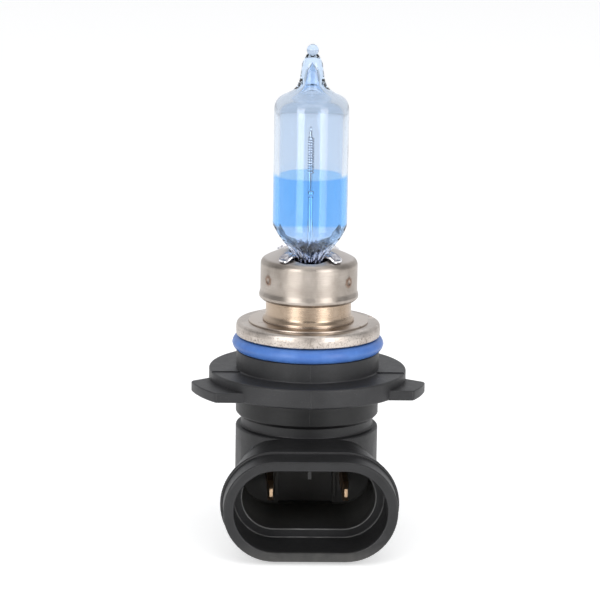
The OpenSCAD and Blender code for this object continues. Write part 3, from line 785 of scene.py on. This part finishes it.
left_front = 180 + math.degrees(math.asin(-LEFT_FRONT_Y / LUG_R))
right_front = -math.degrees(math.asin(-RIGHT_FRONT_Y / LUG_R))
left_lug = [(-8, LEFT_FRONT_Y, 0), (-8, -1.0, 0), (-13.8, -1.0, 0.4), (*on_circle(190.6), 0.7),
            *rim_corners(194.0, left_front - 2.5), (*on_circle(left_front), 0.6)]
right_lug = [(8, -1.0, 0), (8, RIGHT_FRONT_Y, 0), (*on_circle(right_front), 0.6),
             *rim_corners(right_front + 2.5, -13.0), (*on_circle(-9.6), 0.7), (13.8, -0.8, 0.4)]
back_left, back_right = [(x, math.sqrt(LUG_R ** 2 - x ** 2), 0.4) for x in BACK_LUG_X]
back_lug = [(BACK_LUG_X[1], 10, 0), back_right, *rim_corners(79.5, 101.8)[1:-1], back_left,
            (BACK_LUG_X[0], 10, 0)]
for corners in (left_lug, right_lug, back_lug):
    combine(flange, lug(corners), "UNION")
parting = [(DISC_R - 0.03, DISC_LOW + 0.25, DISC_TOP - STEP - 0.25), (COLLAR_R - 0.03, DISC_TOP + 0.1, 3.85),
           (COLLAR_R - 0.03, -4.7, DISC_LOW - 0.2)]
RIDGE_R, RIDGE_SIDES = 0.07, 8
ridge_outline = [(RIDGE_R * math.cos(TAU * k / RIDGE_SIDES), RIDGE_R * math.sin(TAU * k / RIDGE_SIDES))
                 for k in range(RIDGE_SIDES)]
for angle in (-90, 90):
    for r, low, high in parting:
        ridge = build(prism(ridge_outline, low, high))
        ridge.data.transform(Matrix.Rotation(math.radians(angle), 4, "Z") @ Matrix.Translation((r, 0, 0)))
        combine(flange, ridge, "UNION")
flange_plastic = plastic("flange_glass_filled", (0.021, 0.021, 0.0225), 0.46, 1.0)
# painted shade: the moulding is darkened below the disc, under its overhang
painted_underside_shade = flange_plastic.math("DIVIDE", flange_plastic.axis("Z"), -10.0)
painted_underside_shade = flange_plastic.ramp(painted_underside_shade, (0.15, 1), (0.28, 0.2))
flange_base = flange_plastic.shader.inputs["Base Color"].links[0].from_socket
flange_plastic.set("Base Color", flange_plastic.mix(1.0, flange_base, painted_underside_shade, "MULTIPLY"))
finish_piece(flange, "flange_moulding", [flange_plastic.material], ["flange_base"], 34, True)

# ---------------------------------------------------------------- socket body
MOUTH_Y, MOUTH_W, MOUTH_H, SOCKET_Z = socket_low.y, 23.84, 14.1, -14.25
SHOULDER, SHOULDER_Y, TAPER_Y = 0.38, -16.0, -6.0
HOLLOW_W, HOLLOW_H, LEDGE, LEDGE_Y, BACK_Y = 20.9, 11.4, 1.22, -12.4, 0.6
BODY_R, BODY_TOP, BODY_LOW = 10.03, -6.75, -21.0
POCKET_HALF, RIM_ROUND, MOUTH_ROUND, LEDGE_ROUND = 3.85, 0.3, 0.28, 0.15


def along_y(u, v, w):
    """Place in space of a point of an outline across the socket's centre line."""
    return (u, w, SOCKET_Z + v)


def stadium_run(width, height, levels, place=along_y):
    """Solid along Y through stadium outlines; levels are (y, how far the outline grows)."""
    return loft([[place(u, v, y) for u, v in stadium(width + 2 * g, height + 2 * g)] for y, g in levels])


def quarter(y, grow, radius, rising, steps=5):
    """Levels of a quarter round of a radius that starts or ends at y."""
    made = []
    for k in range(steps + 1):
        a = math.pi / 2 * k / steps
        made.append((y + radius * (1 - math.cos(a)), grow - radius * (1 - math.sin(a))))
    return made if rising else [(2 * y - at, g) for at, g in made[::-1]]


def opening(y, radius, steps):
    """Levels of the rounded rim of a hollow that opens at y."""
    turns = [math.pi / 2 * k / steps for k in range(steps + 1)]
    return [(y + radius * (1 - math.cos(a)), radius * (1 - math.sin(a))) for a in turns]


side = MOUTH_W / 2 + SHOULDER
LEAN = (side - BODY_R) / (TAPER_Y - SHOULDER_Y)
shroud_rings = []
run_levels = [(SHOULDER_Y + RIM_ROUND + 0.7 * k, 0) for k in range(1, 15)]
for y, grow in [*quarter(SHOULDER_Y, 0, RIM_ROUND, True), *run_levels, (-1.0, 0)]:
    narrow = min(max(0.0, y - SHOULDER_Y - RIM_ROUND) * LEAN, side - BODY_R + 0.4)
    shroud_rings.append([along_y(math.copysign(max(0.0, abs(u) - narrow), u), v, y)
                         for u, v in stadium(2 * (side + grow), MOUTH_H + 2 * (SHOULDER + grow))])
shroud = build(loft(shroud_rings))
body = build(lathe(fillet([(0, BODY_LOW, 0), (BODY_R, BODY_LOW, 0.8), (BODY_R, BODY_TOP, 0.3),
                           (SPIGOT_R, BODY_TOP, 0.15), (SPIGOT_R, SPIGOT_TOP, 0), (0, SPIGOT_TOP, 0)], 6, False),
                   256, False))
combine(body, shroud, "UNION")
rim = build(stadium_run(MOUTH_W, MOUTH_H, [*quarter(MOUTH_Y, 0, RIM_ROUND, True), (SHOULDER_Y + 0.5, 0)]))
combine(body, rim, "UNION")
mouth = stadium_run(HOLLOW_W, HOLLOW_H, [(MOUTH_Y - 1, MOUTH_ROUND), *opening(MOUTH_Y, MOUTH_ROUND, 5),
                                         (LEDGE_Y - 0.2, 0), (LEDGE_Y, -0.2)])
combine(body, build(mouth), "DIFFERENCE")
inner_w, inner_h = HOLLOW_W - 2 * LEDGE, HOLLOW_H - 2 * LEDGE
plug = stadium_run(inner_w, inner_h, [(LEDGE_Y - 0.5, LEDGE_ROUND), *opening(LEDGE_Y, LEDGE_ROUND, 4),
                                      (BACK_Y - 0.2, 0), (BACK_Y, -0.2)])
combine(body, build(plug), "DIFFERENCE")
roof, ground = SOCKET_Z + inner_h / 2, SOCKET_Z - inner_h / 2 + 0.05
pocket = prism([(-POCKET_HALF, ground), (POCKET_HALF, ground), (POCKET_HALF, roof), (-POCKET_HALF, roof)],
               BACK_Y - 0.3, BACK_Y + 1.2, place=lambda u, v, w: (u, w, v))
combine(body, build(pocket), "DIFFERENCE")
ribs = [prism(rectangle(0.3, 2.1, 0.15), -13.5, BACK_Y + 1.5, 0.1, lambda u, v, w: (u, w, -9.3 + v))]
ribs += [prism(rectangle(0.23, 4.2, 0.1), BACK_Y - 0.4, BACK_Y + 0.47, 0.06,
               lambda u, v, w, s=s: (s * 4.1 + u, w, -13.4 + v)) for s in (-1, 1)]
for rib in ribs:
    combine(body, build(rib), "UNION")
socket_plastic = plastic("socket_glass_filled", (0.0145, 0.0145, 0.0155), 0.46, 1.0)


def reach_in(f, width, height):
    """How far a place is outside a stadium outline round the socket's centre line, in millimetres."""
    past = f.math("MAXIMUM", f.math("SUBTRACT", f.math("ABSOLUTE", f.axis("X")), (width - height) / 2), 0)
    rise = f.math("SUBTRACT", f.axis("Z"), SOCKET_Z)
    reach = f.math("SQRT", f.math("ADD", f.math("MULTIPLY", past, past), f.math("MULTIPLY", rise, rise)))
    return f.math("SUBTRACT", reach, height / 2)


def painted_ledge_highlight(f, width, height, line):
    """Mask of a painted highlight line along a stadium outline on the ledge."""
    deep = f.math("ABSOLUTE", f.math("SUBTRACT", f.axis("Y"), LEDGE_Y))
    near = f.math("MAXIMUM", f.math("ABSOLUTE", reach_in(f, width, height)), f.math("MULTIPLY", deep, 0.6))
    return f.ramp(f.math("DIVIDE", near, line), (0.55, 1), (1.0, 0))


p = socket_plastic
base = p.shader.inputs["Base Color"].links[0].from_socket
# painted light: the deep hollow behind the ledge is lifted to a lighter grey
inside = p.math("MULTIPLY", p.math("LESS_THAN", reach_in(p, inner_w, inner_h), 0.12),
                p.math("LESS_THAN", p.axis("Y"), BACK_Y + 1.5))
painted_hollow_light = p.ramp(p.math("DIVIDE", p.axis("Y"), -25.0), (0.30, 1), (0.47, 0.35))
base = p.mix(p.math("MULTIPLY", inside, painted_hollow_light), base, (0.052, 0.052, 0.050))
# painted highlights: thin light lines along both edges of the ledge, broken up by the patchy noise
marks = p.mix(1.0, painted_ledge_highlight(p, inner_w, inner_h, 0.17), painted_ledge_highlight(p, HOLLOW_W, HOLLOW_H, 0.14), "LIGHTEN")
patchy = p.ramp(p.noise(0.5, 4), (0.3, 0.35), (0.65, 1))
base = p.mix(p.mix(1.0, marks, patchy, "MULTIPLY"), base, (0.17, 0.17, 0.168))
# painted light: the lower front of the rim is lifted to a lighter grey, broken up by the patchy noise
low_rim = p.ramp(p.math("DIVIDE", p.axis("Z"), -25.0), (0.74, 0), (0.84, 0.9))
front_rim = p.ramp(p.math("DIVIDE", p.axis("Y"), -25.0), (0.77, 0), (0.8, 1))
painted_rim_light = p.mix(1.0, p.mix(1.0, low_rim, front_rim, "MULTIPLY"), patchy, "MULTIPLY")
base = p.mix(painted_rim_light, base, (0.066, 0.064, 0.060))
p.set("Base Color", base)
finish_piece(body, "socket_moulding", [socket_plastic.material], ["socket_body"], 34, True)

# ---------------------------------------------------------------- terminals
brass, _ = metal("terminal_brass", (0.74, 0.54, 0.36), (0.36, 0.21, 0.11), 0.34, 0.6, 2.0)
BLADE_H = 2.8
for name, node in (("left_blade", "left_terminal"), ("right_blade", "right_terminal")):
    low, top = extent(node)
    blade_high = low.z + BLADE_H
    outline = fillet([(low.y, low.z + 0.8, 0.2), (low.y + 1.2, low.z, 0.3), (top.y, low.z, 0.4),
                      (top.y, top.z, 0.1), (top.y - 2.2, top.z, 0.1), (top.y - 2.2, blade_high, 0.3),
                      (low.y + 1.2, blade_high, 0.3), (low.y, blade_high - 0.8, 0.2)], 4)
    verts, faces = prism(outline, low.x, top.x, 0.08, lambda u, v, w: (w, u, v))
    middle = (low.x + top.x) / 2
    taper = [(middle + (x - middle) * lerp(0.62, 1, smooth((y - low.y) / 1.1)), y, z) for x, y, z in verts]
    finish_piece(build((taper, faces)), name, [brass.material], [node], 40)

# ---------------------------------------------------------------- carried-over nodes
tail_finish, _ = metal("outer_wire", (0.70, 0.70, 0.72), (0.48, 0.48, 0.50), 0.3, 0.3)
foil_finish, _ = metal("seal_foil_grey", (0.48, 0.49, 0.52), (0.34, 0.35, 0.38), 0.3, 0.5)
resin = plastic("potting_resin", (0.035, 0.035, 0.038), 0.34, 0.6)
for node, finish in (("long_lead_tail", tail_finish), ("short_lead_tail", tail_finish),
                     ("long_lead_foil", foil_finish), ("short_lead_foil", foil_finish), ("potting_plug", resin)):
    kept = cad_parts[node]
    kept.data.materials.clear()
    kept.data.materials.append(finish.material)

# ---------------------------------------------------------------- floor, light and camera
floor_finish = Finish("studio_floor", Roughness=0.9)
front = floor_finish.ramp(floor_finish.math("DIVIDE", floor_finish.axis("Y"), -300.0), (0.22, 0.78), (0.42, 0.56))
aside = floor_finish.math("ABSOLUTE", floor_finish.axis("X"))
aside = floor_finish.ramp(floor_finish.math("DIVIDE", aside, 400.0), (0.5, 0.78), (1.0, 0.56))
front = floor_finish.mix(1.0, front, aside, "DARKEN")
floor_finish.set("Base Color", front)
floor_finish.set("Emission Color", front)
floor_finish.set("Emission Strength", 0.65)
size, level = 6.0, cad_low.z - 0.1 * MM
floor_mesh = bpy.data.meshes.new("floor")
floor_mesh.from_pydata([(-size, -size, level), (size, -size, level), (size, size, level), (-size, size, level)],
                       [], [(0, 1, 2, 3)])
floor = bpy.data.objects.new("floor", floor_mesh)
floor_mesh.materials.append(floor_finish.material)
bpy.context.scene.collection.objects.link(floor)

world = bpy.data.worlds.new("studio")
bpy.context.scene.world = world
world.use_nodes = True
sky = world.node_tree.nodes["Background"]
direction = world.node_tree.nodes.new("ShaderNodeSeparateXYZ")
around = world.node_tree.nodes.new("ShaderNodeTexCoord").outputs["Generated"]
world.node_tree.links.new(around, direction.inputs[0])
room = world.node_tree.nodes.new("ShaderNodeMapRange")
room.interpolation_type = "SMOOTHSTEP"
for socket, value in (("From Min", -0.1), ("From Max", 0.9), ("To Min", 0.28), ("To Max", 0.85)):
    room.inputs[socket].default_value = value
world.node_tree.links.new(direction.outputs["Y"], room.inputs["Value"])
world.node_tree.links.new(room.outputs["Result"], sky.inputs["Strength"])
sky.inputs["Color"].default_value = (0.97, 0.98, 1.0, 1)


def softbox(name, azimuth, elevation, distance, width, height, power):
    """Area light aimed at the bulb; azimuth 0 is in front and 90 is to the right."""
    lamp = bpy.data.lights.new(name, "AREA")
    lamp.shape, lamp.size, lamp.size_y, lamp.energy = "RECTANGLE", width, height, power
    made = bpy.data.objects.new(name, lamp)
    a, e = math.radians(azimuth), math.radians(elevation)
    away = Vector((math.sin(a) * math.cos(e), -math.cos(a) * math.cos(e), math.sin(e)))
    made.location = away * distance
    made.rotation_mode = "QUATERNION"
    made.rotation_quaternion = away.to_track_quat("Z", "Y")
    bpy.context.scene.collection.objects.link(made)


softbox("left_box", -38, 14, 1.0, 0.42, 1.0, 3.0)
softbox("right_box", 40, 14, 1.0, 0.42, 1.0, 3.0)
softbox("top_box", 0, 78, 1.2, 1.2, 1.2, 4.4)
softbox("left_strip", -35, 14, 0.18, 0.075, 0.13, 0.075)
softbox("right_strip", 37.5, 14, 0.18, 0.075, 0.13, 0.075)

LENS, SENSOR = 180.0, 36.0
CAMERA_AT = Vector((-16.59, -411.805, 97.943))
YAW, PITCH, ROLL = math.radians(2.14), math.radians(11.913), math.radians(0.93)
camera_data = bpy.data.cameras.new("camera")
camera_data.lens, camera_data.sensor_width = LENS, SENSOR
camera_data.clip_start, camera_data.clip_end = 0.01, 50
camera = bpy.data.objects.new("camera", camera_data)
bpy.context.scene.collection.objects.link(camera)
forward = Vector((math.sin(YAW) * math.cos(PITCH), math.cos(YAW) * math.cos(PITCH), -math.sin(PITCH)))
right = Vector((math.cos(YAW), -math.sin(YAW), 0))
up = right.cross(forward)
axes = Matrix((right * math.cos(ROLL) + up * math.sin(ROLL), up * math.cos(ROLL) - right * math.sin(ROLL),
               -forward)).transposed()
camera.matrix_world = Matrix.Translation(CAMERA_AT * MM) @ axes.to_4x4()
bpy.context.scene.camera = camera
bpy.context.scene.view_settings.view_transform = "Standard"
